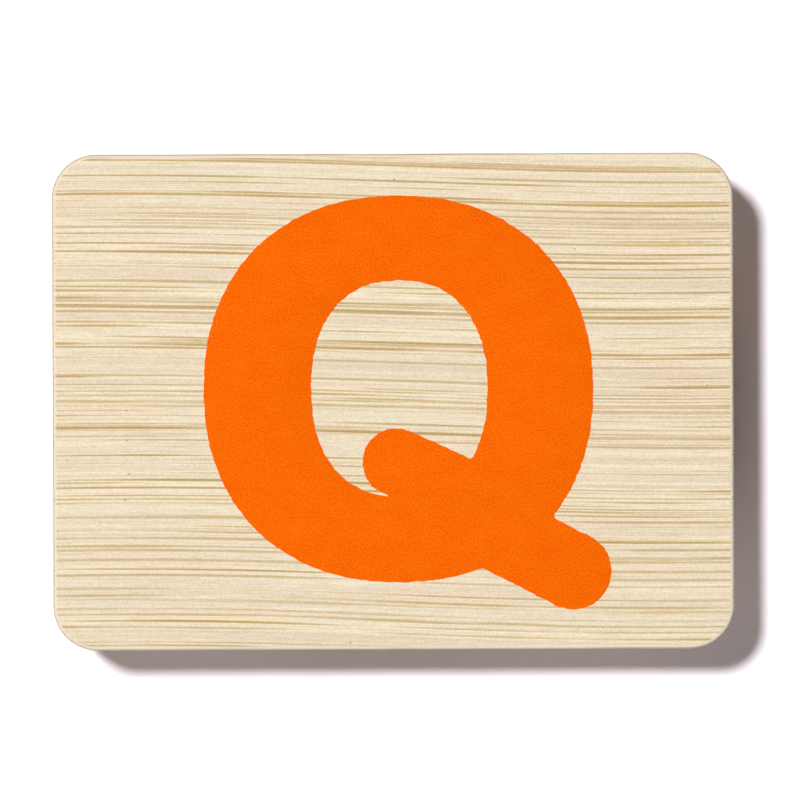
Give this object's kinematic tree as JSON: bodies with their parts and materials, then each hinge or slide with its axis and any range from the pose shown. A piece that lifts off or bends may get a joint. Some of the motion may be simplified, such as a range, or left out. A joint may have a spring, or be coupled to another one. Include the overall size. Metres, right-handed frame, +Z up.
{
  "type": "toy train car",
  "caption": "Low flat wooden toy train wagon: a bamboo deck printed with one large letter, free wheels on steel axles and magnet couplings.",
  "frame": {"origin": "on the floor, under the middle of the deck", "axes": "+X direction of travel, towards the front coupling and to the right of the letter; +Y the car's left side, towards the top of the letter; +Z up"},
  "size_m": [0.07, 0.051, 0.0234],
  "materials": {
    "bamboo": "sanded, bare",
    "print_ink": "screen-printed ink, matte",
    "beech": "sanded, thin wax",
    "axle_steel": "drawn bright rod",
    "zinc_steel": "zinc plated",
    "nickel": "nickel plated magnet"
  },
  "bodies": {
    "car_body": {"deck_face_ply": "bamboo", "deck_core_ply": "bamboo", "deck_back_ply": "bamboo", "printed_letter": "print_ink", "underframe_beam": "beech", "deck_screw_front": "zinc_steel", "axle_front": "axle_steel", "magnet_cup_front": "zinc_steel", "magnet_front": "nickel", "magnet_screw_front": "zinc_steel", "washer_front_left": "zinc_steel", "axle_cap_front_left": "zinc_steel", "washer_front_right": "zinc_steel", "axle_cap_front_right": "zinc_steel", "deck_screw_rear": "zinc_steel", "axle_rear": "axle_steel", "magnet_cup_rear": "zinc_steel", "magnet_rear": "nickel", "magnet_screw_rear": "zinc_steel", "washer_rear_left": "zinc_steel", "axle_cap_rear_left": "zinc_steel", "washer_rear_right": "zinc_steel", "axle_cap_rear_right": "zinc_steel"},
    "wheel_front_left_body": {"wheel_front_left": "beech"},
    "wheel_front_right_body": {"wheel_front_right": "beech"},
    "wheel_rear_left_body": {"wheel_rear_left": "beech"},
    "wheel_rear_right_body": {"wheel_rear_right": "beech"}
  },
  "joints": [
    {"name": "wheel_front_left_spin", "type": "hinge", "parent": "car_body", "child": "wheel_front_left_body", "pos_m": [0.02, 0.01565, 0.008], "axis": [0, 1, 0], "continuous": true},
    {"name": "wheel_front_right_spin", "type": "hinge", "parent": "car_body", "child": "wheel_front_right_body", "pos_m": [0.02, -0.01565, 0.008], "axis": [0, 1, 0], "continuous": true},
    {"name": "wheel_rear_left_spin", "type": "hinge", "parent": "car_body", "child": "wheel_rear_left_body", "pos_m": [-0.02, 0.01565, 0.008], "axis": [0, 1, 0], "continuous": true},
    {"name": "wheel_rear_right_spin", "type": "hinge", "parent": "car_body", "child": "wheel_rear_right_body", "pos_m": [-0.02, -0.01565, 0.008], "axis": [0, 1, 0], "continuous": true}
  ]
}
